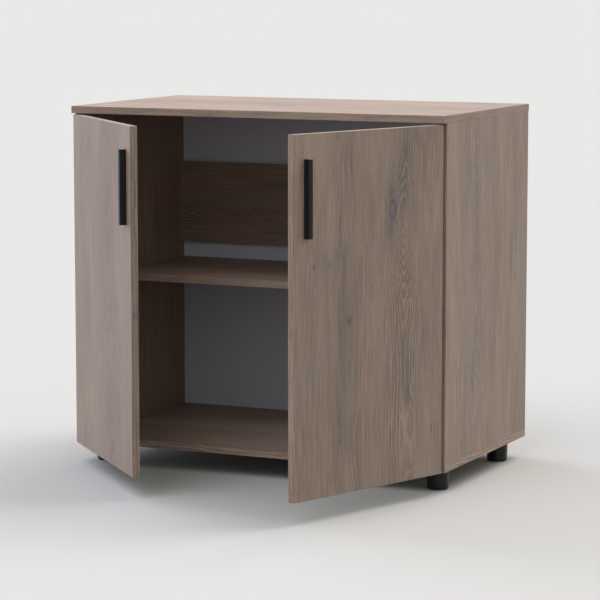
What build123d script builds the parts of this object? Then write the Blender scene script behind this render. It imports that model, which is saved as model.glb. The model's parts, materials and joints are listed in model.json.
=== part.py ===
from build123d import *
from math import cos, radians, sin
import os

# Two-door cabinet of laminated board on four round legs, both doors standing open.
# Millimetres, +Z up. The closed doors face -Y. The origin is on the floor, under the middle
# of the body. Hinges, handles and doors are drawn closed on the right-hand side, opened about
# their axis, and mirrored for the left-hand side.

# Body
top_width = 900
top_depth = 518
body_height = 767
leg_height = 48
board = 16
band = 1
band_rounding = 0.5
back_sheet = 3
back_reveal = 2

# Shelf and back rail, measured down from the top surface
shelf_drop = 389
shelf_setback = 122
shelf_play = 1
shelf_back_gap = 2
rail_drop = 158
rail_height = 193

# Doors
door_gap = 2
door_reveal = 1.5
door_under_top = 3
door_lift = 1
right_opening = 70
left_opening = 45

# Hinge pivots: insets run inwards from the door's outer edge, depths run back from its face
axis_inset = 6.5
axis_depth = 2
cup_pivot_inset = 25.5
cup_pivot_depth = 11
arm_pivot_inset = 29.5
arm_pivot_depth = 29.4
hinge_from_end = 100

# Hinge cups
cup_radius = 17.45
cup_depth = 12
cup_inset = 22.5
cup_wall = 1
flange_thickness = 1.2
flange_width = 26
flange_height = 58
flange_corner = 6
cup_lug_inner = 5
cup_lug_outer = 7
cup_screw_spacing = 46

# Hinge links and their pins, with heights measured from the middle of a hinge
link_pin_radius = 1.5
link_end_radius = 3.4
link_half_width = 2.5
cup_link_half_height = 4.5
arm_link_inner = 4.9
arm_link_outer = 6.4
arm_link_web = 1.1
joint_pin_head = (2.3, 0.4)
arm_pin_head = (2.4, 0.6)

# Hinge arms and the plates under them, with insets and depths like those of the pivots
arm_cheek_inner = 7
arm_cheek_outer = 8.5
arm_eye_radius = 5
arm_web_inset = 34.5
arm_web = 1.5
arm_web_front = 50
arm_rear = 85
arm_nose_inset = 24.5
arm_shoulder_depth = 48
arm_shoulder_inset = 20
arm_screw_depths = (60, 75)
plate_thickness = 3
plate_front = 36
plate_rear = 84
plate_half_height = 6
plate_rail_front = 52
plate_rail_rear = 83
plate_wing_depth = 55
plate_wing_half_width = 8
plate_wing_half_height = 25
plate_screw_spacing = 32

# Handles
handle_length = 160
handle_width = 11
handle_proud = 14.5
handle_drop = 50.5
handle_from_edge = 29.7
handle_base = 3
handle_lip = 2.5
handle_web = 2.5
handle_rounding = 0.8
handle_hole_spacing = 128

# Legs
leg_from_side = 41
leg_from_front = 62
leg_from_back = 76
leg_top_radius = 24.8
leg_foot_radius = 23.3
leg_wall = 3
leg_sole = 4
leg_rounding = 2.5
socket_radius = 12
spigot_radius = 8
spigot_length = 12
leg_plate_radius = 27
leg_plate = 3
leg_pad = 1.5
leg_pad_radius = 19
leg_screw_circle = 17
leg_screw_angles = (45, 135, 225, 315)

# Joinery: fasteners are turned pieces of (radius, length) steps, the head or outer end first
cam_radius = 7.45
cam_depth = 12.5
cam_from_joint = 24
cam_mouth_radius = 3.7
cam_slot = (8, 1.6, 2)
cam_bolt_thread = 10
cam_bolt_steps = ((2.9, cam_bolt_thread), (3.0, 16), (2.0, 4), (3.2, 3))
dowel_radius = 4
dowel_thin_end = 10
dowel_deep_end = 20
dowel_steps = ((dowel_radius, dowel_thin_end + dowel_deep_end),)
body_screw_steps = ((4.9, 4.5), (3.5, 11.5), (2.6, 34))
leg_screw_steps = ((3.4, 2), (1.75, leg_plate + 12))
cup_screw_steps = ((3.6, 1.4), (1.75, flange_thickness + 11))
arm_screw_steps = ((4.2, 2), (2.6, 10))
plate_screw_steps = ((4.6, 2.2), (2.5, plate_thickness + 8))
handle_screw_steps = ((4, 2.4), (2, board + handle_base - 0.3))
nail_steps = ((2.5, 0.6), (0.9, 15.4))
pin_radius = 2.5
pin_in_side = 9
shelf_pin_steps = ((pin_radius, pin_in_side), (4.5, 0.8), (pin_radius, 8))
bumper_steps = ((3.4, 0.6), (4, 1))
large_slot = 5
small_slot = 3.6
slot_width_share = 0.22
slot_depth = 1.2

# Distances of the joinery from the edges of the boards
cam_from_edge = 60
dowel_from_edge = 92
rail_cam_from_edge = 40
shelf_pin_from_edge = 60
bumper_from_edge = 8
bumper_from_free_edge = 15
side_nail_count = 7
nail_above_underside = 30
nail_below_top = 25
middle_nail_count = 5
middle_nail_spacing = 175

# Clearances
fixed_gap = 0.02
running_gap = 0.05
open_gap = 0.15
bore_gap = 0.05

# Planes of the body
half_width = top_width / 2
front = -top_depth / 2
back = top_depth / 2
top = leg_height + body_height
under_top = top - board
underside = leg_height
floor_board = underside + board
carcass_front = front + board + door_gap
carcass_back = back - back_sheet
side_inner = half_width - board
side_middle = half_width - board / 2
shelf_top = top - shelf_drop
shelf_under = shelf_top - board
shelf_front = carcass_front + shelf_setback
shelf_back = carcass_back - shelf_back_gap
shelf_half = side_inner - shelf_play
rail_top = top - rail_drop
rail_bottom = rail_top - rail_height
rail_level = (rail_bottom + rail_top) / 2
rail_front = carcass_back - board
rail_middle = carcass_back - board / 2

# Planes of a closed right-hand door
door_outer = half_width - door_reveal
door_width = door_outer - door_reveal
door_free = door_outer - door_width
door_bottom = underside + door_lift
door_top = under_top - door_under_top
door_back = front + board
hinge_levels = (door_bottom + hinge_from_end, door_top - hinge_from_end)
plate_y = front + plate_wing_depth

right = Vector(1, 0, 0)
left = Vector(-1, 0, 0)
rearward = Vector(0, 1, 0)
forward = Vector(0, -1, 0)
up = Vector(0, 0, 1)
down = Vector(0, 0, -1)

os.makedirs("parts", exist_ok=True)


def export(node, pieces):
    """Write one node, as one solid or as a group of separate solids."""
    whole = Compound(pieces) if isinstance(pieces, list) else pieces
    export_step(whole, f"parts/{node}.step")


def block(x_range, y_range, z_range):
    """A straight block between three pairs of limits."""
    ranges = (x_range, y_range, z_range)
    middle = [(low + high) / 2 for low, high in ranges]
    size = [high - low for low, high in ranges]
    return Pos(*middle) * Box(*size)


def eased(whole, is_eased):
    """A board with some of its edges slightly rounded, as on a scraped edge band."""
    return fillet(whole.edges().filter_by(is_eased), band_rounding)


def cut_out(whole, places):
    """The parts of a board that lie in some blocks, each as a piece of its own."""
    return [(whole & place).solid() for place in places]


def turned(start, direction, steps):
    """A turned piece of (radius, length) steps, one after the other."""
    piece = None
    for radius, length in steps:
        foot = Plane(origin=start, z_dir=direction)
        step = foot * Cylinder(radius, length, align=(Align.CENTER, Align.CENTER, Align.MIN))
        piece = step if piece is None else piece + step
        start = start + direction * length
    return piece


def bore(start, direction, steps, gap=bore_gap):
    """The hole for a turned piece, a little wider than the piece."""
    return turned(start, direction, [(radius + gap, length) for radius, length in steps])


def shank_bore(start, direction, steps):
    """The hole for the shank of a screw whose head stays outside."""
    return bore(start, direction, [(steps[1][0], steps[0][1] + steps[1][1])])


def cross_slot(start, direction, span, width, depth):
    """The cross-shaped driver slot of a screw or cam."""
    foot = Plane(origin=start, z_dir=direction)
    sunk = (Align.CENTER, Align.CENTER, Align.MIN)
    return foot * (Box(span, width, depth, align=sunk) + Box(width, span, depth, align=sunk))


def screw(start, direction, steps, slot_span):
    """A screw whose first step is its head, with a cross slot in it."""
    slot = cross_slot(start, direction, slot_span, slot_span * slot_width_share, slot_depth)
    return turned(start, direction, steps) - slot


def mirrored(piece):
    """The left-hand twin of a right-hand piece."""
    return piece.mirror(Plane.YZ)


def both_sides(pieces):
    """Right-hand pieces with their left-hand twins."""
    return pieces + [mirrored(piece) for piece in pieces]


def cam_drum(centre, inwards, towards_joint):
    """A cam drum, hollowed where the bolt's head enters."""
    drum = turned(centre, inwards, [(cam_radius, cam_depth)])
    mouth = turned(centre + inwards * (board / 2), towards_joint, [(cam_mouth_radius, cam_radius + 1)])
    return drum - mouth - cross_slot(centre, inwards, *cam_slot)


def cam_bores(centre, inwards, towards_joint):
    """The drum's blind bore and the bolt's bore from the board's edge."""
    drum = bore(centre, inwards, [(cam_radius, cam_depth)])
    bolt_start = centre + inwards * (board / 2)
    return [drum, turned(bolt_start, towards_joint, [(cam_mouth_radius, cam_from_joint)])]


# Fasteners of the right-hand side, each with the bores it needs
cam_drums, cam_bolts, dowels, body_screws, shelf_pins = [], [], [], [], []
side_bores, top_bores, bottom_bores, rail_bores = [], [], [], []

for place in (carcass_front + cam_from_edge, carcass_back - cam_from_edge):
    drum_centre = Vector(side_inner, place, under_top - cam_from_joint)
    cam_drums.append(cam_drum(drum_centre, right, up))
    side_bores += cam_bores(drum_centre, right, up)
    bolt_end = Vector(side_middle, place, under_top + cam_bolt_thread)
    cam_bolts.append(turned(bolt_end, down, cam_bolt_steps))
    top_bores.append(bore(bolt_end, down, cam_bolt_steps[:1]))
    screw_foot = Vector(side_middle, place, underside)
    body_screws.append(screw(screw_foot, up, body_screw_steps, large_slot))
    bottom_bores.append(bore(screw_foot, up, body_screw_steps))
    side_bores.append(bore(screw_foot, up, body_screw_steps))

for place in (carcass_front + dowel_from_edge, carcass_back - dowel_from_edge):
    upper = Vector(side_middle, place, under_top + dowel_thin_end)
    lower = Vector(side_middle, place, floor_board - dowel_thin_end)
    for start, direction, thin_bores in ((upper, down, top_bores), (lower, up, bottom_bores)):
        dowels.append(turned(start, direction, dowel_steps))
        side_bores.append(bore(start, direction, dowel_steps))
        thin_bores.append(bore(start, direction, [(dowel_radius, dowel_thin_end)]))

for level in (rail_bottom + rail_cam_from_edge, rail_top - rail_cam_from_edge):
    drum_centre = Vector(side_inner - cam_from_joint, carcass_back, level)
    cam_drums.append(cam_drum(drum_centre, forward, right))
    rail_bores += cam_bores(drum_centre, forward, right)
    bolt_end = Vector(side_inner + cam_bolt_thread, rail_middle, level)
    cam_bolts.append(turned(bolt_end, left, cam_bolt_steps))
    side_bores.append(bore(bolt_end, left, cam_bolt_steps[:1]))

rail_dowel_end = Vector(side_inner + dowel_thin_end, rail_middle, rail_level)
dowels.append(turned(rail_dowel_end, left, dowel_steps))
side_bores.append(bore(rail_dowel_end, left, [(dowel_radius, dowel_thin_end)]))
rail_bores.append(bore(rail_dowel_end, left, dowel_steps))

# Shelf pins: a stub in the side, a thin collar and another stub under the shelf
for place in (shelf_front + shelf_pin_from_edge, shelf_back - shelf_pin_from_edge):
    pin_end = Vector(side_inner + pin_in_side, place, shelf_under - pin_radius)
    shelf_pins.append(turned(pin_end, left, shelf_pin_steps))
    side_bores.append(bore(pin_end, left, shelf_pin_steps[:1]))


def plate_screw_starts(level):
    """Where the two screws of a hinge plate start, on the plate's face."""
    face = side_inner - plate_thickness - plate_screw_steps[0][1]
    return [Vector(face, plate_y, level + side * plate_screw_spacing / 2) for side in (-1, 1)]


hinge_plate_screws = []
for level in hinge_levels:
    for start in plate_screw_starts(level):
        hinge_plate_screws.append(screw(start, right, plate_screw_steps, large_slot))
        side_bores.append(shank_bore(start, right, plate_screw_steps))


def nail_starts(xs, levels):
    """Where nails start, on the back of the back sheet."""
    return [Vector(x, back, level) for level in levels for x in xs]


# Nails of the back sheet, with flush heads, into the sides, the rail and the bottom
lowest_nail = underside + nail_above_underside
nail_step = (under_top - nail_below_top - lowest_nail) / (side_nail_count - 1)
side_nail_levels = [lowest_nail + count * nail_step for count in range(side_nail_count)]
first_middle_nail = -middle_nail_spacing * (middle_nail_count - 1) / 2
middle_nail_xs = [first_middle_nail + count * middle_nail_spacing for count in range(middle_nail_count)]
side_nail_starts = nail_starts([side_middle], side_nail_levels)
middle_nail_starts = nail_starts(middle_nail_xs, [underside + board / 2, rail_level])
side_nail_bores = [bore(start, forward, nail_steps) for start in side_nail_starts]
middle_nail_bores = [bore(start, forward, nail_steps) for start in middle_nail_starts]
side_bores += side_nail_bores
side_nails = [turned(start, forward, nail_steps) for start in side_nail_starts]
middle_nails = [turned(start, forward, nail_steps) for start in middle_nail_starts]
export("back_nails", both_sides(side_nails) + middle_nails)

leg_places = ((half_width - leg_from_side, carcass_front + leg_from_front),
              (half_width - leg_from_side, back - leg_from_back))
leg_screws, leg_screw_bores = [], []
for leg_x, leg_y in leg_places:
    for angle in leg_screw_angles:
        screw_x = leg_x + leg_screw_circle * cos(radians(angle))
        screw_y = leg_y + leg_screw_circle * sin(radians(angle))
        start = Vector(screw_x, screw_y, underside - leg_plate - leg_screw_steps[0][1])
        leg_screws.append(screw(start, up, leg_screw_steps, small_slot))
        leg_screw_bores.append(bore(start, up, leg_screw_steps))


def banded_panel(name, depths, levels, bores):
    """The top or the bottom, banded in front and at both ends, with its back edge left raw."""
    across = (-half_width, half_width)
    inside = (-half_width + band, half_width - band)
    front_depths = (depths[0], depths[0] + band)
    rear_depths = (depths[0] + band, depths[1])
    whole = eased(block(across, depths, levels), lambda edge: edge.center().Y < depths[1] - band)
    export(f"{name}_panel", block(inside, rear_depths, levels) - bores)
    export(f"{name}_edge_bands", cut_out(whole, [
        block(across, front_depths, levels),
        block((-half_width, inside[0]), rear_depths, levels),
        block((inside[1], half_width), rear_depths, levels),
    ]))


banded_panel("top", (front, back), (under_top, top), both_sides(top_bores))
banded_panel("bottom", (carcass_front, carcass_back), (underside, floor_board),
             both_sides(bottom_bores + leg_screw_bores) + middle_nail_bores)

# Sides, banded in front
side_levels = (floor_board, under_top)
side_width = (side_inner, half_width)
right_side = block(side_width, (carcass_front + band, carcass_back), side_levels) - side_bores
export("right_side_panel", right_side)
export("left_side_panel", mirrored(right_side))
side_band = block(side_width, (carcass_front, carcass_front + band), side_levels)
side_band = fillet(side_band.edges().filter_by(Axis.Z).group_by(Axis.Y)[0], band_rounding)
export("side_edge_bands", both_sides([side_band]))

# Back sheet, pushed up against the top and nailed on, and the rail in front of it, banded
# above and below
sheet = block((-half_width + back_reveal, half_width - back_reveal), (carcass_back, back),
              (underside + back_reveal, under_top))
export("back_sheet", sheet - both_sides(side_nail_bores) - middle_nail_bores)
rail_width = (-side_inner, side_inner)
rail_depths = (rail_front, carcass_back)
rail_core = block(rail_width, rail_depths, (rail_bottom + band, rail_top - band))
export("back_rail", rail_core - both_sides(rail_bores) - middle_nail_bores)
rail_whole = block(rail_width, rail_depths, (rail_bottom, rail_top))
rail_whole = fillet(rail_whole.edges().filter_by(Axis.X).group_by(Axis.Y)[0], band_rounding)
export("back_rail_edge_bands", cut_out(rail_whole, [
    block(rail_width, rail_depths, (rail_bottom, rail_bottom + band)),
    block(rail_width, rail_depths, (rail_top - band, rail_top)),
]))

# Shelf on its pins, banded in front
shelf_width = (-shelf_half, shelf_half)
shelf_levels = (shelf_under, shelf_top)
export("shelf", block(shelf_width, (shelf_front + band, shelf_back), shelf_levels))
shelf_band = block(shelf_width, (shelf_front, shelf_front + band), shelf_levels)
shelf_band = fillet(shelf_band.edges().filter_by(Axis.X).group_by(Axis.Y)[0], band_rounding)
export("shelf_edge_band", shelf_band)
export("shelf_pins", both_sides(shelf_pins))

export("cam_locks", both_sides(cam_drums))
export("cam_bolts", both_sides(cam_bolts))
export("dowels", both_sides(dowels))
export("body_screws", both_sides(body_screws))


def leg_plate_piece(x, y):
    """The round plate of a leg, with its spigot and screw holes."""
    steps = [(leg_plate_radius, leg_plate), (spigot_radius, spigot_length)]
    return turned(Vector(x, y, underside), down, steps) - leg_screw_bores


def leg(x, y):
    """A slightly tapered hollow leg, open above, with a socket for the plate's spigot."""
    bottom = leg_pad
    top_level = underside - leg_plate
    inside = bottom + leg_sole
    socket_bore = spigot_radius + bore_gap
    wall_profile = Polyline((0, bottom), (leg_foot_radius, bottom), (leg_top_radius, top_level),
                            (leg_top_radius - leg_wall, top_level), (leg_foot_radius - leg_wall, inside),
                            (socket_radius, inside), (socket_radius, top_level),
                            (socket_bore, top_level), (socket_bore, inside), (0, inside), close=True)
    body = revolve(make_face(Plane.XZ * wall_profile), Axis.Z)
    foot_edges = body.edges().filter_by(GeomType.CIRCLE).group_by(Axis.Z)[0]
    return Pos(x, y, 0) * fillet(foot_edges, leg_rounding)


leg_plates, leg_pads = [], []
for name, (leg_x, leg_y) in zip(("front", "rear"), leg_places):
    right_leg = leg(leg_x, leg_y)
    export(f"{name}_right_leg", right_leg)
    export(f"{name}_left_leg", mirrored(right_leg))
    leg_plates.append(leg_plate_piece(leg_x, leg_y))
    leg_pads.append(turned(Vector(leg_x, leg_y, 0), up, [(leg_pad_radius, leg_pad)]))
export("leg_plates", both_sides(leg_plates))
export("leg_plate_screws", both_sides(leg_screws))
export("leg_pads", both_sides(leg_pads))


def hinge_point(inset, depth, level=0):
    """A point by its inset from the door's outer edge and its depth from the door's face."""
    return Vector(door_outer - inset, front + depth, level)


axis_point = hinge_point(axis_inset, axis_depth)
arm_pivot = hinge_point(arm_pivot_inset, arm_pivot_depth)
cup_pivot = hinge_point(cup_pivot_inset, cup_pivot_depth)
# The two links and the lines from the door's axis to their far pivots make a parallelogram,
# so the links stay joined while the door turns about its axis.
link_joint = arm_pivot + cup_pivot - axis_point


def layer(shape, level, low, high):
    """A flat outline thickened between two heights above a hinge's level."""
    return extrude(Plane(origin=(0, 0, level + low)) * shape, amount=high - low, dir=up)


def along(start, end, share):
    """A place on the line between two points, turned to run along it."""
    turn = right.get_signed_angle(end - start, up)
    return Pos(start * (1 - share) + end * share) * Rot(0, 0, turn)


def link_outline(start, end):
    """A straight link with round ends, seen from above."""
    bar = along(start, end, 0.5) * Rectangle((end - start).length, 2 * link_half_width)
    return bar + Pos(start) * Circle(link_end_radius) + Pos(end) * Circle(link_end_radius)


def pin_hole(pivot, level, gap):
    """A hole for a link pin through the whole height of a hinge."""
    reach = arm_cheek_outer + 1
    start = Vector(pivot.X, pivot.Y, level - reach)
    return turned(start, up, [(link_pin_radius + gap, 2 * reach)])


def link_pin(pivot, level, half_height, heads=()):
    """A link pin, with riveted heads where they are given."""
    head_height = sum(height for radius, height in heads)
    start = Vector(pivot.X, pivot.Y, level - half_height - head_height)
    return turned(start, up, [*heads, (link_pin_radius, 2 * half_height), *heads])


def cup_link(level):
    """The thick inner link, from the cup to the joint."""
    body = layer(link_outline(cup_pivot, link_joint), level, -cup_link_half_height, cup_link_half_height)
    return body - pin_hole(cup_pivot, level, running_gap) - pin_hole(link_joint, level, open_gap)


def arm_link(level):
    """The forked outer link: two cheeks, joined by a web behind."""
    outline = link_outline(arm_pivot, link_joint)
    upper = layer(outline, level, arm_link_inner, arm_link_outer)
    lower = layer(outline, level, -arm_link_outer, -arm_link_inner)
    web_length = (link_joint - arm_pivot).length / 2
    web_place = along(arm_pivot, link_joint, 0.44) * Pos(0, arm_link_web / 2 - link_half_width)
    web = web_place * Rectangle(web_length, arm_link_web)
    body = upper + lower + layer(web, level, -arm_link_outer, arm_link_outer)
    return body - pin_hole(arm_pivot, level, running_gap) - pin_hole(link_joint, level, fixed_gap)


def hinge_cup(level):
    """The round cup sunk in the door, with its flange and the two lugs of its pin."""
    mouth = hinge_point(cup_inset, board + flange_thickness, level)
    flange_face = Plane(origin=mouth, x_dir=right, z_dir=forward)
    flange_outline = flange_face * RectangleRounded(flange_width, flange_height, flange_corner)
    flange = extrude(flange_outline, amount=flange_thickness)
    shell = turned(mouth + forward * flange_thickness, forward, [(cup_radius, cup_depth)])
    hollow_depth = flange_thickness + cup_depth - cup_wall
    hollow = turned(mouth, forward, [(cup_radius - cup_wall, hollow_depth)])
    cup = flange + shell - hollow
    lug_x = (cup_pivot.X - link_end_radius, cup_pivot.X + link_end_radius)
    lug_y = (door_back - cup_depth + cup_wall, cup_pivot.Y + link_end_radius)
    for low, high in ((cup_lug_inner, cup_lug_outer), (-cup_lug_outer, -cup_lug_inner)):
        cup = cup + block(lug_x, lug_y, (level + low, level + high))
    return cup - pin_hole(cup_pivot, level, fixed_gap)


def cup_screw_starts(level):
    """Where the two screws of a cup's flange start, on the door's inner side."""
    depth = board + flange_thickness + cup_screw_steps[0][1]
    return [hinge_point(cup_inset, depth, level + side * cup_screw_spacing / 2) for side in (-1, 1)]


def hinge_arm(level):
    """The long arm: two cheeks that hold the outer link's pin, joined by a web over the plate."""
    corners = [
        hinge_point(arm_web_inset, arm_pivot_depth),
        hinge_point(arm_web_inset, arm_rear),
        hinge_point(arm_shoulder_inset, arm_rear),
        hinge_point(arm_shoulder_inset, arm_shoulder_depth),
        hinge_point(arm_nose_inset, arm_pivot_depth),
    ]
    cheek = Polygon(*[(corner.X, corner.Y) for corner in corners], align=None)
    cheek = cheek + Pos(arm_pivot) * Circle(arm_eye_radius)
    upper = layer(cheek, level, arm_cheek_inner, arm_cheek_outer)
    lower = layer(cheek, level, -arm_cheek_outer, -arm_cheek_inner)
    web = block((door_outer - arm_web_inset, door_outer - arm_web_inset + arm_web),
                (front + arm_web_front, front + arm_rear),
                (level - arm_cheek_outer, level + arm_cheek_outer))
    return upper + lower + web - pin_hole(arm_pivot, level, fixed_gap)


def arm_screw_starts(level):
    """Where the arm's fixing screw and its setting screw start."""
    return [hinge_point(arm_web_inset + arm_screw_steps[0][1], depth, level) for depth in arm_screw_depths]


def hinge_plate(level):
    """The cross-shaped plate on the side, with the raised rail under the arm's web."""
    plate_x = (side_inner - plate_thickness, side_inner)
    rail_x = (door_outer - arm_web_inset + arm_web, side_inner - plate_thickness)
    heights = (level - plate_half_height, level + plate_half_height)
    base = block(plate_x, (front + plate_front, front + plate_rear), heights)
    wings = block(plate_x, (plate_y - plate_wing_half_width, plate_y + plate_wing_half_width),
                  (level - plate_wing_half_height, level + plate_wing_half_height))
    rail = block(rail_x, (front + plate_rail_front, front + plate_rail_rear), heights)
    holes = [bore(start, right, plate_screw_steps) for start in plate_screw_starts(level)]
    return base + wings + rail - holes


def door_core():
    """The door board between its edge bands, with the bores for cups and screws."""
    core = block((door_free + band, door_outer - band), (front, door_back),
                 (door_bottom + band, door_top - band))
    holes = [shank_bore(start, forward, handle_screw_steps) for start in handle_screw_starts()]
    for level in hinge_levels:
        mouth = hinge_point(cup_inset, board, level)
        holes.append(bore(mouth, forward, [(cup_radius, cup_depth)]))
        holes += [bore(start, forward, cup_screw_steps) for start in cup_screw_starts(level)]
    return core - holes


def door_bands():
    """The thin bands round all four edges of a door."""
    depths = (front, door_back)
    across = (door_free, door_outer)
    heights = (door_bottom, door_top)
    between = (door_free + band, door_outer - band)
    whole = eased(block(across, depths, heights), lambda edge: True)
    return cut_out(whole, [
        block((door_free, door_free + band), depths, heights),
        block((door_outer - band, door_outer), depths, heights),
        block(between, depths, (door_bottom, door_bottom + band)),
        block(between, depths, (door_top - band, door_top)),
    ])


def bumpers():
    """Soft round stops on the door's inner face, over the edges of the side and the bottom."""
    far = door_width - bumper_from_free_edge
    low = door_bottom + bumper_from_edge
    high = door_top - bumper_from_edge
    places = ((far, low), (bumper_from_edge, low), (bumper_from_edge, high))
    return [turned(hinge_point(inset, board, level), rearward, bumper_steps) for inset, level in places]


handle_edge = door_free + handle_from_edge
handle_bottom = door_top - handle_drop - handle_length


def handle_screw_starts():
    """Where the two handle screws start, on the door's inner side."""
    x = handle_edge + handle_width / 2
    y = door_back + handle_screw_steps[0][1]
    middle = handle_bottom + handle_length / 2
    return [Vector(x, y, middle + side * handle_hole_spacing / 2) for side in (-1, 1)]


def handle():
    """A pressed-out bar whose finger groove opens towards the hinges."""
    outer = handle_edge
    inner = handle_edge + handle_width
    face = front - handle_proud
    outline = Polygon(
        (outer, front), (outer, face), (inner, face), (inner, face + handle_lip),
        (outer + handle_web, face + handle_lip), (outer + handle_web, front - handle_base),
        (inner, front - handle_base), (inner, front),
        align=None,
    )
    bar = layer(outline, handle_bottom, 0, handle_length)
    face_edges = bar.edges().filter_by(Axis.Z).group_by(Axis.Y)[0]
    bar = fillet(face_edges, handle_rounding)
    return bar - [bore(start, forward, handle_screw_steps) for start in handle_screw_starts()]


def hang_door(side, opening, finish):
    """Export one door with all that is on it, opened by an angle in degrees."""
    axis = Axis(axis_point, up)
    arm_axis = Axis(arm_pivot, up)
    reach = cup_pivot - axis_point
    cup_shift = reach.rotate(Axis.Z, opening) - reach

    def export_all(node, pieces, move):
        moved = [finish(move(piece)) for piece in pieces]
        export(f"{side}_{node}", moved if len(moved) > 1 else moved[0])

    def on_door(piece):
        return piece.rotate(axis, opening)

    def on_arm(piece):
        return piece.rotate(arm_axis, opening)

    def on_cup_link(piece):
        return Pos(cup_shift) * piece

    def on_body(piece):
        return piece

    export_all("door", [door_core()], on_door)
    export_all("door_edge_bands", door_bands(), on_door)
    export_all("door_bumpers", bumpers(), on_door)
    export_all("handle", [handle()], on_door)
    starts = handle_screw_starts()
    handle_screws = [screw(start, forward, handle_screw_steps, large_slot) for start in starts]
    export_all("handle_screws", handle_screws, on_door)

    cups, cup_screws = [], []
    for level in hinge_levels:
        starts = cup_screw_starts(level)
        cups.append(hinge_cup(level) - [bore(start, forward, cup_screw_steps) for start in starts])
        cup_screws += [screw(start, forward, cup_screw_steps, small_slot) for start in starts]
    export_all("hinge_cups", cups, on_door)
    export_all("hinge_cup_screws", cup_screws, on_door)
    cup_pins = [link_pin(cup_pivot, level, cup_lug_outer) for level in hinge_levels]
    export_all("hinge_cup_pins", cup_pins, on_door)
    export_all("hinge_cup_links", [cup_link(level) for level in hinge_levels], on_cup_link)

    export_all("hinge_arm_links", [arm_link(level) for level in hinge_levels], on_arm)
    joint_pins = [link_pin(link_joint, level, arm_link_outer, [joint_pin_head]) for level in hinge_levels]
    export_all("hinge_joint_pins", joint_pins, on_arm)

    arm_pins = [link_pin(arm_pivot, level, arm_cheek_outer, [arm_pin_head]) for level in hinge_levels]
    export_all("hinge_arm_pins", arm_pins, on_body)
    arms, plates, arm_screws = [], [], []
    for level in hinge_levels:
        starts = arm_screw_starts(level)
        screw_holes = [bore(start, right, arm_screw_steps) for start in starts]
        arms.append(hinge_arm(level) - screw_holes)
        plates.append(hinge_plate(level) - screw_holes)
        arm_screws += [screw(start, right, arm_screw_steps, large_slot) for start in starts]
    export_all("hinge_arms", arms, on_body)
    export_all("hinge_plates", plates, on_body)
    export_all("hinge_arm_screws", arm_screws, on_body)
    export_all("hinge_plate_screws", hinge_plate_screws, on_body)


hang_door("right", right_opening, lambda piece: piece)
hang_door("left", left_opening, mirrored)
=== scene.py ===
import json
from collections import namedtuple
from math import cos, pi, radians, sin

import bpy
from mathutils import Matrix, Vector


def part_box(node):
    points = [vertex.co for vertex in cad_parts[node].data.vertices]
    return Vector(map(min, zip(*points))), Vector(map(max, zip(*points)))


# A two-door cabinet in greyish-brown oak laminate, with its doors standing open.
# Metres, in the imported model's frame: +Z up, the closed doors face -Y.
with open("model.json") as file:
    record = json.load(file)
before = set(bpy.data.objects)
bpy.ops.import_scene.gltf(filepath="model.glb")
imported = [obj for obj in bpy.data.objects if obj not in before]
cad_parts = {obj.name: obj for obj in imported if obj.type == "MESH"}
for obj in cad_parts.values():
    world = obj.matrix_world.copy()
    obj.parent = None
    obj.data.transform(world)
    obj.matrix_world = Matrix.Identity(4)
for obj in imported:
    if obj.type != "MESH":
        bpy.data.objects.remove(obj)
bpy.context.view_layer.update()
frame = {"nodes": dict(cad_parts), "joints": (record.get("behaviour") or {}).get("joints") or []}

nodes = frame["nodes"]
joints = {joint["name"]: joint for joint in frame["joints"]}
right = Vector((1, 0, 0))
rearward = Vector((0, 1, 0))
up = Vector((0, 0, 1))

# How far in from a face the mask for that face starts
skin = 0.0003

# Where a door turns: behind its closed face, and in from its outer edge
axis_behind_face = 0.002
axis_from_edge = 0.0065

# The back of a board shows another part of the print, moved by this much
back_shift_across = 0.13
back_shift_along = 0.21

# Rings of the oak print to a metre, and how round they are where they meet at the heart
ring_count = 118
heart_roundness = 0.00004

# Depth of the back sheet's lacquer
lacquer_depth = 0.0006

# Colours as linear values
oak_pale = (0.400, 0.286, 0.210)
oak_straw = (0.344, 0.236, 0.169)
oak_tan = (0.298, 0.204, 0.148)
oak_grey = (0.232, 0.168, 0.130)
oak_line = (0.150, 0.106, 0.080)
oak_knot = (0.115, 0.098, 0.100)
chip_light = (0.47, 0.34, 0.21)
chip_dark = (0.20, 0.12, 0.065)
lacquer_dull = (0.66, 0.69, 0.79)
lacquer_clean = (0.72, 0.75, 0.85)
fibre_dark = (0.17, 0.095, 0.05)
fibre_light = (0.33, 0.21, 0.12)
nickel_tint = (0.66, 0.64, 0.60)
zinc_tint = (0.56, 0.57, 0.58)
coat_black = (0.007, 0.007, 0.008)
coat_rubbed = (0.015, 0.015, 0.017)
moulding_black = (0.009, 0.009, 0.010)
moulding_dust = (0.026, 0.025, 0.025)
felt_dark = (0.05, 0.05, 0.05)
felt_light = (0.16, 0.16, 0.155)
beech_dark = (0.42, 0.26, 0.14)
beech_light = (0.62, 0.43, 0.26)
beech_fleck = (0.25, 0.13, 0.06)
bumper_cloudy = (0.62, 0.63, 0.64)
bumper_clear = (0.8, 0.81, 0.82)

# What is drawn on an oak board, in metres across and along its grain: eyes that the rings bend
# round, dark knots, which may be hollow, and streaks, which are greyer columns. The rings lie
# round the heart, a line that leans, and bold is how strongly the grain shows.
Eye = namedtuple("Eye", "across along width length rings")
Knot = namedtuple("Knot", "across along width length dark hollow", defaults=(False,))
Streak = namedtuple("Streak", "across width low high strength")
Figure = namedtuple("Figure", "seed heart lean eyes knots streaks bold", defaults=((), (), (), 1.0))


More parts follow.
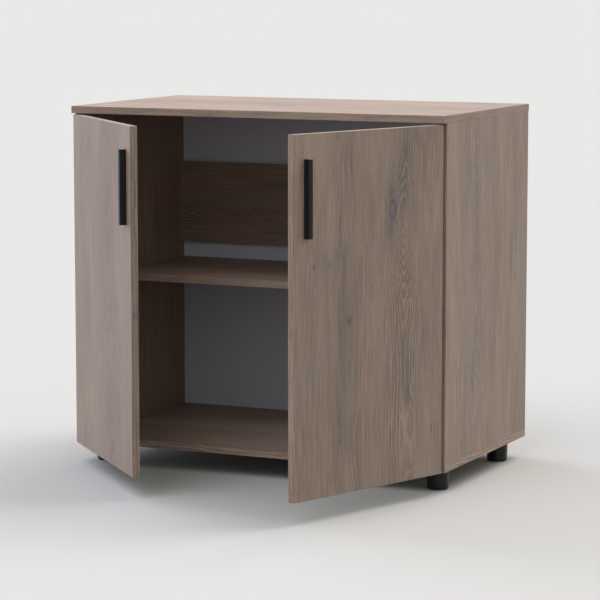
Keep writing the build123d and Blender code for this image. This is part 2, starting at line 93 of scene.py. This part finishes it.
class Signal:
    """What a node gives, a number or a vector that varies over a surface, ready for plain maths."""

    def __init__(self, finish, socket):
        self.finish = finish
        self.socket = socket

    def join(self, operation, first, second=0.0):
        """Two terms joined by a Math node, or by a Vector Math node where one is a vector."""
        terms = [term for term in (first, second) if isinstance(term, Signal)]
        is_vector = any(term.socket.type == "VECTOR" for term in terms)
        kind = "ShaderNodeVectorMath" if is_vector else "ShaderNodeMath"
        return self.finish.node(kind, {0: first, 1: second}, operation=operation)

    def __add__(self, other):
        return self.join("ADD", self, other)

    def __radd__(self, other):
        return self.join("ADD", other, self)

    def __sub__(self, other):
        return self.join("SUBTRACT", self, other)

    def __rsub__(self, other):
        return self.join("SUBTRACT", other, self)

    def __mul__(self, other):
        return self.join("MULTIPLY", self, other)

    def __rmul__(self, other):
        return self.join("MULTIPLY", other, self)

    def __truediv__(self, other):
        return self.join("DIVIDE", self, other)

    def __gt__(self, other):
        return self.join("GREATER_THAN", self, other)

    def __lt__(self, other):
        return self.join("LESS_THAN", self, other)

    def __abs__(self):
        return self.join("ABSOLUTE", self)

    def root(self):
        return self.join("SQRT", self)

    def part(self):
        """What is left of a number above its whole part."""
        return self.join("FRACT", self)

    def most(self, other):
        return self.join("MAXIMUM", self, other)

    def exp(self):
        return self.join("EXPONENT", self)

    def bell(self, width):
        """1 at zero, falling away on both sides."""
        ratio = self / width
        return (ratio * ratio * -1).exp()

    def rise(self, low, high):
        """0 below one value and 1 above another, with a smooth step between them."""
        ends = {"Value": self, "From Min": low, "From Max": high}
        return self.finish.node("ShaderNodeMapRange", ends, interpolation_type="SMOOTHSTEP")

    def along(self, direction):
        """How far a vector reaches in a direction."""
        return self.finish.node("ShaderNodeVectorMath", {0: self, 1: direction}, out="Value",
                                operation="DOT_PRODUCT")


class Finish:
    """A material in the making."""

    def __init__(self, name):
        self.material = bpy.data.materials.new(name)
        self.material.use_nodes = True
        self.tree = self.material.node_tree
        self.tree.nodes.clear()

    def node(self, kind, inputs, out=0, **settings):
        """One node: first its settings, then the values or links of its sockets."""
        made = self.tree.nodes.new(kind)
        for name, value in settings.items():
            setattr(made, name, value)
        for name, value in inputs.items():
            self.feed(made.inputs[name], value)
        return Signal(self, made.outputs[out]) if made.outputs else None

    def feed(self, socket, value):
        """Link a signal to a socket, or set the socket to a plain value."""
        if isinstance(value, Signal):
            self.tree.links.new(value.socket, socket)
        elif socket.type == "VECTOR" and isinstance(value, (int, float)):
            socket.default_value = (value, value, value)
        elif socket.type == "RGBA" and len(value) == 3:
            socket.default_value = (*value, 1)
        else:
            socket.default_value = value

    def place(self):
        """Where a point of the piece is while the piece is at rest."""
        return self.node("ShaderNodeTexCoord", {}, out="Object")

    def point(self, x, y, z):
        return self.node("ShaderNodeCombineXYZ", {0: x, 1: y, 2: z})

    def noise(self, place, detail=2, roughness=0.5):
        """Cloudy noise from 0 to 1, with 0.5 in the middle."""
        return self.node("ShaderNodeTexNoise", {"Vector": place, "Scale": 1.0, "Detail": detail,
                                                "Roughness": roughness})

    def cells(self, place):
        """Small cells, each with a colour of its own."""
        return self.node("ShaderNodeTexVoronoi", {"Vector": place, "Scale": 1.0}, out="Color")

    def mix(self, factor, first, second, blend="MIX"):
        """One colour laid over another."""
        return self.node("ShaderNodeMix", {0: factor, 6: first, 7: second}, out=2,
                         data_type="RGBA", blend_type=blend, clamp_factor=True)

    def shade(self, colour, factor):
        """A colour made lighter or darker by a number that varies."""
        return self.mix(1.0, colour, self.point(factor, factor, factor), blend="MULTIPLY")

    def bump(self, height, distance, strength=1.0):
        return self.node("ShaderNodeBump", {"Height": height, "Distance": distance, "Strength": strength})

    def surface(self, colour, roughness, normal=None, **plain):
        """The shader that ends the material; its other sockets are plain numbers."""
        inputs = {"Base Color": colour, "Roughness": roughness}
        inputs.update({name.replace("_", " "): value for name, value in plain.items()})
        if normal is not None:
            inputs["Normal"] = normal
        shader = self.node("ShaderNodeBsdfPrincipled", inputs)
        return self.end(shader)

    def end(self, shader):
        self.node("ShaderNodeOutputMaterial", {"Surface": shader})
        return self.material


class Board:
    """How a board lies: where its figure is measured from, and which way its grain runs."""

    def __init__(self, origin, grain, across, out):
        self.origin = Vector(origin)
        self.grain = Vector(grain)
        self.across = Vector(across)
        self.out = Vector(out)

    def measures(self, finish):
        """A point's distance along the grain, across it and out of the board's face."""
        place = finish.place() - tuple(self.origin)
        return [place.along(tuple(way)) for way in (self.grain, self.across, self.out)]


def spread(across, along, mark):
    """The square of how far out of a mark a point is, 1 at the mark's rim."""
    sideways = (across - mark.across) / mark.width
    lengthwise = (along - mark.along) / mark.length
    return sideways * sideways + lengthwise * lengthwise


def oak_print(finish, along, across, figure):
    """Greyish oak: rings that bend round the eyes, grey clouds and columns, streaks and knots.

    Gives the colour, the late wood, the fibres and the pores.
    """
    seed = figure.seed
    bold = figure.bold

    def grain(cells_across, cells_along, layer, detail=2, roughness=0.5):
        """Noise drawn out along the grain, with its cells counted per metre."""
        spot = finish.point(bent * cells_across, along * cells_along, seed + layer)
        return finish.noise(spot, detail=detail, roughness=roughness)

    sway = finish.noise(finish.point(across * 2.4, along * 1.2, seed)) - 0.5
    ripple = finish.noise(finish.point(across * 18, along * 8, seed + 2)) - 0.5
    bent = across + sway * 0.035 + ripple * 0.014
    jag = grain(240, 18, layer=4, detail=3, roughness=0.6) - 0.5
    wobble = grain(50, 11, layer=26) - 0.5

    # Rings, bent round the eyes
    offset = bent - (along * figure.lean + figure.heart)
    phase = (offset * offset + heart_roundness).root() * ring_count + jag * 1.2 + wobble * 0.8
    lively = offset.bell(0.070)
    for eye in figure.eyes:
        near = (1 - (spread(bent, along, eye) + 1).root()).exp()
        phase = phase - near * eye.rings
        lively = lively.most(near * 0.8)
    ring = phase.part()
    late = ring.rise(0.20, 0.75) * (1 - ring.rise(0.84, 1.0))
    early = 1 - ring.rise(0.0, 0.30)
    patches = grain(16, 6, layer=6).rise(0.34, 0.62)
    vivid = (lively * 0.88 + 0.12) * (patches * 0.5 + 0.5)

    # Columns, bands, stripes, ticks, fibres and pores, each finer than the one before
    cloud = grain(9, 2.2, layer=20) - 0.5
    clouds = grain(24, 7, layer=24, detail=3, roughness=0.6)
    columns = grain(40, 3.6, layer=8, detail=3, roughness=0.6)
    bands = grain(120, 7, layer=10) - 0.5
    stripes = grain(330, 9, layer=12) - 0.5
    ticks = grain(380, 85, layer=22, detail=1).rise(0.56, 0.80)
    fibres = grain(900, 30, layer=14)
    pore = grain(1500, 110, layer=16, detail=1).rise(0.60, 0.72) * (1.1 - late)
    hue = grain(26, 5, layer=18) - 0.5

    greyness = columns.rise(0.44, 0.72) * (0.45 * bold) + clouds.rise(0.48, 0.74) * (0.35 * bold)
    for streak in figure.streaks:
        column = (bent - streak.across).bell(streak.width)
        ends = along.rise(streak.low - 0.06, streak.low + 0.06)
        ends = ends * (1 - along.rise(streak.high - 0.06, streak.high + 0.06))
        mottle = patches * 0.5 + columns.rise(0.34, 0.62) * 0.7
        greyness = greyness + column * ends * mottle * streak.strength
    colour = finish.mix(bands * (2.2 * bold) + 0.5, oak_tan, oak_straw)
    colour = finish.mix(greyness, colour, oak_grey)
    colour = finish.mix(late * vivid * 0.78, colour, oak_line)
    colour = finish.mix(early * vivid * 0.68, colour, oak_pale)
    fine = stripes * (patches * 0.6 + 0.4) * bold + fibres * 0.40 - ticks * (0.22 * bold)
    colour = finish.shade(colour, fine + cloud * (0.50 * bold) + 0.82)
    colour = finish.mix(1.0, colour, finish.point(hue * 0.22 + 1, 1.0, hue * -0.22 + 1), blend="MULTIPLY")
    colour = finish.mix(pore * 0.35, colour, oak_line)
    for knot in figure.knots:
        far = spread(across + ripple * 0.006 + jag * 0.003, along, knot)
        mark = (far * -1).exp()
        if knot.hollow:
            mark = (far.root() - 1).bell(0.34).most(mark * 0.35)
        colour = finish.mix(mark * knot.dark, colour, oak_knot)
    return colour, late, fibres, pore


def raw_chips(finish):
    """The sawn edge of chipboard: pale and dark flakes pressed flat."""
    place = finish.place()
    flakes = finish.cells(place * (260, 260, 700))
    grain = finish.noise(place * 900, detail=3)
    return finish.mix(flakes.along((0.5, 0.3, 0.2)) * 0.7 + grain * 0.3, chip_dark, chip_light)


def oak_board(name, board, figure, raw=None):
    """A laminated board: the oak print on its faces, raw chipboard where it has no band."""
    finish = Finish(name)
    along, across, out = board.measures(finish)
    behind = out < -board_thickness / 2
    across = across + behind * back_shift_across
    along = along + behind * back_shift_along
    colour, late, fibres, pore = oak_print(finish, along, across, figure)
    rough = 0.50 - late * 0.05 + pore * 0.14 + fibres * 0.08
    height = fibres * 0.35 - pore * 0.9 - late * 0.25
    if raw is not None:
        edge = raw(finish)
        colour = finish.mix(edge, colour, raw_chips(finish))
        rough = rough + edge * 0.3
    bump = finish.bump(height, 0.00006, 0.8)
    return finish.surface(colour, rough, bump, Specular_IOR_Level=0.5)


def oak_band(name, seed, ways, knots=(), painted_light=1.0):
    """A thin edge band, printed with the grain along it; ways tells where it turns another way. The last
    argument scales the whole colour: painted light, which brightens a band that stands in shade.
    """
    finish = Finish(name)
    along, across = ways(finish)
    figure = Figure(seed, 0.03, 0.0, knots=knots)
    colour, late, fibres, pore = oak_print(finish, along, across, figure)
    blotch = finish.noise(finish.point(along * 14, across * 60, seed + 21), detail=3).rise(0.60, 0.76)
    # The band's whole colour is scaled by the last argument: painted light for a band that lies in shade
    colour = finish.shade(finish.mix(blotch * 0.45, colour, oak_line), painted_light)
    rough = 0.48 + pore * 0.12 + fibres * 0.08
    bump = finish.bump(fibres * 0.4 - pore, 0.00005, 0.7)
    return finish.surface(colour, rough, bump, Specular_IOR_Level=0.5)


def dress(node, material):
    """Give a node of the frame its finish."""
    piece = nodes[node]
    piece.data.materials.clear()
    piece.data.materials.append(material)


def smooth_steel(name, tint, brushed):
    """Plated steel: a soft sheen, faint handling scratches and slightly dull patches."""
    finish = Finish(name)
    place = finish.place()
    patches = finish.noise(place * 90, detail=4)
    scratches = finish.noise(place * (140, 900, 1400), detail=2).rise(0.5, 0.8)
    colour = finish.shade(tint, patches * 0.25 + 0.86)
    rough = patches * 0.16 + scratches * 0.12 + brushed
    bump = finish.bump(scratches, 0.00002, 0.5)
    return finish.surface(colour, rough, bump, Metallic=1.0)


def black_coat(name):
    """Matt black powder coat: a fine orange peel, rubbed a little lighter in places."""
    finish = Finish(name)
    place = finish.place()
    peel = finish.noise(place * 1500, detail=2)
    rubbed = finish.noise(place * (60, 60, 12), detail=3).rise(0.45, 0.75)
    colour = finish.mix(rubbed * 0.5, coat_black, coat_rubbed)
    rough = 0.40 - rubbed * 0.08 + peel * 0.08
    return finish.surface(colour, rough, finish.bump(peel, 0.00005, 0.6), Specular_IOR_Level=0.2)


def black_moulding(name):
    """Moulded black plastic with a fine spark-eroded grain and a few dusty patches."""
    finish = Finish(name)
    place = finish.place()
    grain = finish.noise(place * 2200, detail=2)
    dust = finish.noise(place * 45, detail=4).rise(0.5, 0.8)
    colour = finish.mix(dust * 0.35, moulding_black, moulding_dust)
    rough = 0.22 + grain * 0.06 + dust * 0.12
    return finish.surface(colour, rough, finish.bump(grain, 0.00004, 0.5), Specular_IOR_Level=0.3)


def pad_felt(name):
    """The soft grey pad under a leg."""
    finish = Finish(name)
    fluff = finish.noise(finish.place() * 1800, detail=4)
    colour = finish.mix(fluff, felt_dark, felt_light)
    return finish.surface(colour, 0.9, finish.bump(fluff, 0.0003, 0.8))


def beech(name):
    """Plain beech of the dowels, with short dark flecks along the grain."""
    finish = Finish(name)
    place = finish.place()
    fibre = finish.noise(place * (900, 900, 60), detail=3)
    fleck = finish.noise(place * (1600, 1600, 200), detail=1).rise(0.62, 0.75)
    colour = finish.mix(fibre, beech_dark, beech_light)
    colour = finish.mix(fleck * 0.5, colour, beech_fleck)
    return finish.surface(colour, 0.6 + fibre * 0.1, finish.bump(fibre, 0.0001, 0.5))


def clear_drop(name):
    """A soft clear bumper, slightly clouded."""
    finish = Finish(name)
    cloud = finish.noise(finish.place() * 400, detail=2)
    colour = finish.mix(cloud, bumper_cloudy, bumper_clear)
    return finish.surface(colour, 0.12 + cloud * 0.1, Transmission_Weight=0.6, IOR=1.45)


def back_hardboard(name, inner_face):
    """The back sheet: pale lacquer inside, bare brown fibreboard behind."""
    finish = Finish(name)
    place = finish.place()
    outside = place.along(tuple(rearward)) > inner_face + lacquer_depth
    mottle = finish.noise(place * 7, detail=3)
    stipple = finish.noise(place * 850, detail=2)
    fibres = finish.noise(place * (260, 260, 420), detail=4, roughness=0.7)
    lacquer = finish.mix(mottle, lacquer_dull, lacquer_clean)
    brown = finish.mix(fibres, fibre_dark, fibre_light)
    colour = finish.mix(outside, lacquer, finish.shade(brown, mottle * 0.4 + 0.8))
    rough = 0.42 + stipple * 0.08 + outside * 0.25
    height = stipple * (1 - outside) + fibres * outside * 3
    return finish.surface(colour, rough, finish.bump(height, 0.00008, 0.6))


# How each body board lies
top_low, top_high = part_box("top_panel")
side_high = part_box("right_side_panel")[1]
bottom_low, bottom_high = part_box("bottom_panel")
shelf_low, shelf_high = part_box("shelf")
rail_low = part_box("back_rail")[0]
sheet_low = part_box("back_sheet")[0]
board_thickness = shelf_high.z - shelf_low.z


def back_edge(limits):
    """A mask for the back edge of a board."""
    return lambda finish: finish.place().along(tuple(rearward)) > limits.y - skin


def ends_and_back(limits):
    """A mask for the back edge and both ends of a board."""
    def mask(finish):
        place = finish.place()
        back = place.along(tuple(rearward)) > limits.y - skin
        ends = abs(place.along(tuple(right))) > limits.x - skin
        return back.most(ends)
    return mask


top_board = Board((0, 0, top_high.z), right, rearward, up)
bottom_board = Board((0, 0, bottom_high.z), right, rearward, up)
shelf_board = Board((0, 0, shelf_high.z), right, rearward, up)
rail_board = Board((0, rail_low.y, rail_low.z), right, up, -rearward)
right_side_board = Board((side_high.x, 0, 0), up, rearward, right)
left_side_board = Board((-side_high.x, 0, 0), up, rearward, -right)

top_figure = Figure(
    1.3, 0.02, 0.05,
    eyes=(Eye(0.030, -0.300, 0.030, 0.160, 6), Eye(0.060, 0.260, 0.030, 0.200, 6)),
    knots=(Knot(0.095, 0.300, 0.005, 0.014, 0.4),),
    bold=1.45,
)
bottom_figure = Figure(
    4.1, -0.06, 0.03,
    eyes=(Eye(-0.060, -0.200, 0.030, 0.150, 6), Eye(-0.050, 0.300, 0.030, 0.150, 5)),
)
shelf_figure = Figure(7.7, 0.05, -0.04, eyes=(Eye(0.050, -0.050, 0.030, 0.150, 6),))
rail_figure = Figure(
    9.2, 0.072, 0.01,
    eyes=(
        Eye(0.072, -0.285, 0.020, 0.050, 7),
        Eye(0.070, -0.165, 0.012, 0.030, 3),
        Eye(0.076, 0.120, 0.022, 0.080, 7),
    ),
)
right_side_figure = Figure(
    2.6, -0.075, 0.015,
    eyes=(Eye(-0.062, 0.600, 0.022, 0.110, 7), Eye(-0.072, 0.330, 0.012, 0.060, 4)),
    knots=(
        Knot(-0.085, 0.222, 0.007, 0.026, 0.5),
        Knot(0.150, 0.684, 0.003, 0.009, 0.5),
        Knot(0.137, 0.732, 0.003, 0.007, 0.4),
    ),
    streaks=(
        Streak(-0.085, 0.009, 0.16, 0.29, 0.9),
        Streak(-0.067, 0.014, 0.28, 0.80, 0.7),
        Streak(0.155, 0.012, 0.35, 0.80, 0.5),
    ),
    bold=1.15,
)
left_side_figure = Figure(
    12.4, 0.07, -0.02,
    eyes=(Eye(0.060, 0.360, 0.020, 0.100, 6), Eye(0.050, 0.700, 0.020, 0.080, 5)),
    knots=(Knot(0.052, 0.365, 0.005, 0.012, 0.5),),
)

dress("top_panel", oak_board("oak_top", top_board, top_figure, back_edge(top_high)))
finish = oak_board("oak_bottom", bottom_board, bottom_figure, back_edge(bottom_high))
dress("bottom_panel", finish)
finish = oak_board("oak_shelf", shelf_board, shelf_figure, ends_and_back(shelf_high))
dress("shelf", finish)
dress("back_rail", oak_board("oak_rail", rail_board, rail_figure))
sides = (("right", right_side_board, right_side_figure), ("left", left_side_board, left_side_figure))
for side, board, figure in sides:
    finish = oak_board(f"oak_{side}_side", board, figure, back_edge(side_high))
    dress(f"{side}_side_panel", finish)


def door_board(side):
    """How a door lies at rest: its grain runs up, measured from the hinge side."""
    joint = joints[f"{side}_door_swing"]
    axis = Vector(joint["axis"])
    opening = Matrix.Rotation(radians(-joint["range_deg"][0]), 3, axis)
    inwards = opening @ (-right if side == "right" else right)
    outwards = opening @ -rearward
    pivot = Vector(joint["pos_m"])
    pivot.z = 0
    corner = pivot + outwards * axis_behind_face - inwards * axis_from_edge
    return Board(corner, up, inwards, outwards)


right_door_figure = Figure(
    0.0, 0.128, -0.02,
    eyes=(
        Eye(0.134, 0.618, 0.034, 0.090, 10),
        Eye(0.158, 0.629, 0.010, 0.024, 2.5),
        Eye(0.126, 0.800, 0.020, 0.040, 4),
        Eye(0.088, 0.180, 0.012, 0.050, 4),
        Eye(0.083, 0.085, 0.012, 0.035, 3),
        Eye(0.272, 0.150, 0.018, 0.090, 4),
    ),
    knots=(
        Knot(0.156, 0.629, 0.009, 0.017, 1.0, hollow=True),
        Knot(0.160, 0.662, 0.008, 0.010, 0.6),
        Knot(0.161, 0.592, 0.006, 0.022, 0.5),
        Knot(0.108, 0.227, 0.006, 0.026, 0.3),
        Knot(0.389, 0.526, 0.005, 0.006, 0.9),
        Knot(0.343, 0.527, 0.004, 0.008, 0.7),
        Knot(0.365, 0.515, 0.035, 0.070, 0.14),
        Knot(0.290, 0.420, 0.035, 0.080, 0.18),
        Knot(0.321, 0.787, 0.004, 0.008, 0.5),
        Knot(0.285, 0.406, 0.006, 0.010, 1.0),
        Knot(0.252, 0.410, 0.003, 0.008, 0.4),
        Knot(0.318, 0.212, 0.003, 0.010, 0.6),
        Knot(0.312, 0.161, 0.004, 0.010, 0.5),
        Knot(0.034, 0.152, 0.003, 0.010, 0.7),
    ),
    streaks=(
        Streak(0.308, 0.055, 0.10, 0.58, 0.45),
        Streak(0.290, 0.024, 0.36, 0.50, 0.6),
        Streak(0.305, 0.014, 0.00, 0.85, 0.35),
        Streak(0.120, 0.040, 0.20, 0.80, 0.35),
        Streak(0.106, 0.012, 0.14, 0.33, 0.6),
        Streak(0.163, 0.009, 0.56, 0.69, 1.0),
    ),
    bold=1.1,
)
left_door_figure = Figure(
    15.0, 0.30, -0.05,
    eyes=(Eye(0.290, 0.300, 0.025, 0.110, 7), Eye(0.270, 0.720, 0.025, 0.090, 6)),
    knots=(
        Knot(0.125, 0.735, 0.010, 0.030, 0.35),
        Knot(0.153, 0.505, 0.007, 0.040, 0.25),
        Knot(0.328, 0.709, 0.006, 0.008, 0.4),
        Knot(0.273, 0.345, 0.008, 0.008, 0.4),
        Knot(0.358, 0.348, 0.006, 0.006, 0.3),
        Knot(0.359, 0.318, 0.005, 0.009, 0.3),
        Knot(0.298, 0.147, 0.006, 0.007, 0.25),
        Knot(0.352, 0.149, 0.005, 0.008, 0.3),
    ),
    streaks=(Streak(0.118, 0.012, 0.30, 0.90, 0.3), Streak(0.290, 0.014, 0.05, 0.45, 0.2)),
    bold=0.85,
)
right_board = door_board("right")
left_board = door_board("left")
dress("right_door", oak_board("oak_right_door", right_board, right_door_figure))
dress("left_door", oak_board("oak_left_door", left_board, left_door_figure))


def door_band_ways(board, low, high):
    """The door's bands run up its sides and along its ends."""
    def ways(finish):
        height, width, out = board.measures(finish)
        at_end = (height > high).most(height < low)
        along = height * (1 - at_end) + width * at_end
        return along, out
    return ways


def panel_band_ways(front_limit):
    """The bands of the top and bottom run along the front and back along both ends."""
    def ways(finish):
        place = finish.place()
        x, y, z = [place.along(tuple(way)) for way in (right, rearward, up)]
        in_front = y < front_limit
        along = x * in_front + y * (1 - in_front)
        return along, z
    return ways


def plain_band_ways(grain, across):
    def ways(finish):
        place = finish.place()
        return place.along(tuple(grain)), place.along(tuple(across))
    return ways


door_low, door_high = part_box("right_door")
door_band_knots = (
    Knot(-0.009, 0.392, 0.004, 0.006, 0.7),
    Knot(-0.004, 0.400, 0.005, 0.005, 0.4),
    Knot(-0.003, 0.700, 0.004, 0.022, 0.3),
)
for side, board, seed in (("right", right_board, 31.0), ("left", left_board, 37.0)):
    band_ways = door_band_ways(board, door_low.z, door_high.z)
    finish = oak_band(f"oak_{side}_door_bands", seed, band_ways, door_band_knots)
    dress(f"{side}_door_edge_bands", finish)
top_band_knots = (
    Knot(0.811, -0.245, 0.004, 0.014, 0.4),
    Knot(0.804, -0.103, 0.004, 0.009, 0.5),
    Knot(0.808, 0.010, 0.004, 0.035, 0.35),
    Knot(0.806, 0.276, 0.004, 0.010, 0.4),
)
finish = oak_band("oak_top_bands", 41.0, panel_band_ways(top_low.y), top_band_knots)
dress("top_edge_bands", finish)
# The bottom's bands are painted 1.25 times lighter: painted light on the front edge, which the open doors
# shade
finish = oak_band("oak_bottom_bands", 43.0, panel_band_ways(bottom_low.y), painted_light=1.25)
dress("bottom_edge_bands", finish)
for node, seed, grain, across in (
    ("side_edge_bands", 47.0, up, right),
    ("shelf_edge_band", 53.0, right, up),
    ("back_rail_edge_bands", 59.0, right, rearward),
):
    dress(node, oak_band(f"oak_{node}", seed, plain_band_ways(grain, across)))

dress("back_sheet", back_hardboard("back_hardboard", sheet_low.y))

nickel = smooth_steel("nickel_plate", nickel_tint, 0.16)
zinc = smooth_steel("zinc_plate", zinc_tint, 0.26)
handle_black = black_coat("black_powder_coat")
leg_black = black_moulding("black_moulding")
dress("leg_pads", pad_felt("pad_felt"))
dress("dowels", beech("beech"))
bumper_gel = clear_drop("clear_bumper")
for leg in ("front_right_leg", "front_left_leg", "rear_right_leg", "rear_left_leg"):
    dress(leg, leg_black)
dress("leg_plates", leg_black)
for node in ("cam_locks", "cam_bolts", "body_screws", "back_nails", "shelf_pins", "leg_plate_screws"):
    dress(node, zinc)
for side in ("right", "left"):
    dress(f"{side}_handle", handle_black)
    dress(f"{side}_door_bumpers", bumper_gel)
    dress(f"{side}_handle_screws", zinc)
    for node in ("cups", "cup_screws", "cup_pins", "cup_links", "arm_links", "joint_pins",
                 "arm_pins", "arms", "plates", "arm_screws", "plate_screws"):
        dress(f"{side}_hinge_{node}", nickel)


# Floor, pale to the eye and dim to the light that bounces off it
def seen_directly(finish):
    """1 for what the eye sees, straight on, in a gloss or through glass."""
    ray = "ShaderNodeLightPath"
    looks = [finish.node(ray, {}, out=name) for name in
             ("Is Camera Ray", "Is Glossy Ray", "Is Transmission Ray")]
    return looks[0].most(looks[1]).most(looks[2])


floor_seen = (0.505, 0.482, 0.438)
floor_bounce = 0.16
floor_reach = 120

floor_finish = Finish("studio_floor")
floor_speckle = floor_finish.noise(floor_finish.place() * 300, detail=2) * 0.02 + 0.99
floor_colour = floor_finish.mix(seen_directly(floor_finish), (floor_bounce,) * 3, floor_seen)
floor_material = floor_finish.surface(floor_finish.shade(floor_colour, floor_speckle), 0.9,
                                      Specular_IOR_Level=0.0)
floor_mesh = bpy.data.meshes.new("studio_floor")
corners = [(-1, -1), (1, -1), (1, 1), (-1, 1)]
floor_mesh.from_pydata([(x * floor_reach, y * floor_reach, 0) for x, y in corners], [], [(0, 1, 2, 3)])
floor_mesh.materials.append(floor_material)
floor = bpy.data.objects.new("studio_floor", floor_mesh)
bpy.context.scene.collection.objects.link(floor)

# The room: pale to the eye, dim as light
room_seen = (0.816, 0.813, 0.802)
room_light = (0.74, 0.80, 0.82)
world = bpy.data.worlds.new("studio_room")
bpy.context.scene.world = world
world.use_nodes = True


class Room(Finish):
    """The studio's surroundings, made like a material."""

    def __init__(self, holder):
        self.material = holder
        self.tree = holder.node_tree
        self.tree.nodes.clear()


room = Room(world)
room_colour = room.mix(seen_directly(room), room_light, room_seen)
background = room.node("ShaderNodeBackground", {"Color": room_colour, "Strength": 1.0})
room.node("ShaderNodeOutputWorld", {"Surface": background})


def soft_lamp(name, azimuth, elevation, share, colour):
    """A broad, distant softbox. Share 1 lights a surface that faces it at the plain level."""
    lamp = bpy.data.lights.new(name, "SUN")
    lamp.energy = share * pi
    lamp.angle = radians(lamp_softness)
    lamp.color = colour
    holder = bpy.data.objects.new(name, lamp)
    around = radians(azimuth)
    height = radians(elevation)
    towards = Vector((sin(around) * cos(height), -cos(around) * cos(height), sin(height)))
    holder.rotation_mode = "QUATERNION"
    holder.rotation_quaternion = towards.to_track_quat("Z", "Y")
    bpy.context.scene.collection.objects.link(holder)


# Azimuths run from the front towards the right-hand side
lamp_softness = 40
soft_lamp("left_softbox", azimuth=-110, elevation=25, share=0.58, colour=(0.62, 0.70, 1.0))
soft_lamp("front_softbox", azimuth=-15, elevation=55, share=0.38, colour=(0.79, 0.84, 1.0))
soft_lamp("rear_softbox", azimuth=150, elevation=55, share=0.59, colour=(1.0, 0.94, 0.97))

# Camera, level with the photo's view: to the right of the front and a little above
camera_azimuth = radians(24.913)
camera_tilt = radians(7.375)
camera_place = (2.5323, -5.4619, 1.1494)
camera_lens = 159.65
camera_data = bpy.data.cameras.new("camera")
camera_data.sensor_width = 36
camera_data.lens = camera_lens
camera_data.clip_start = 0.1
camera_data.clip_end = 300
camera = bpy.data.objects.new("camera", camera_data)
camera.location = camera_place
camera.rotation_euler = (pi / 2 - camera_tilt, 0, camera_azimuth)
bpy.context.scene.collection.objects.link(camera)
bpy.context.scene.camera = camera
bpy.context.scene.view_settings.view_transform = "Standard"
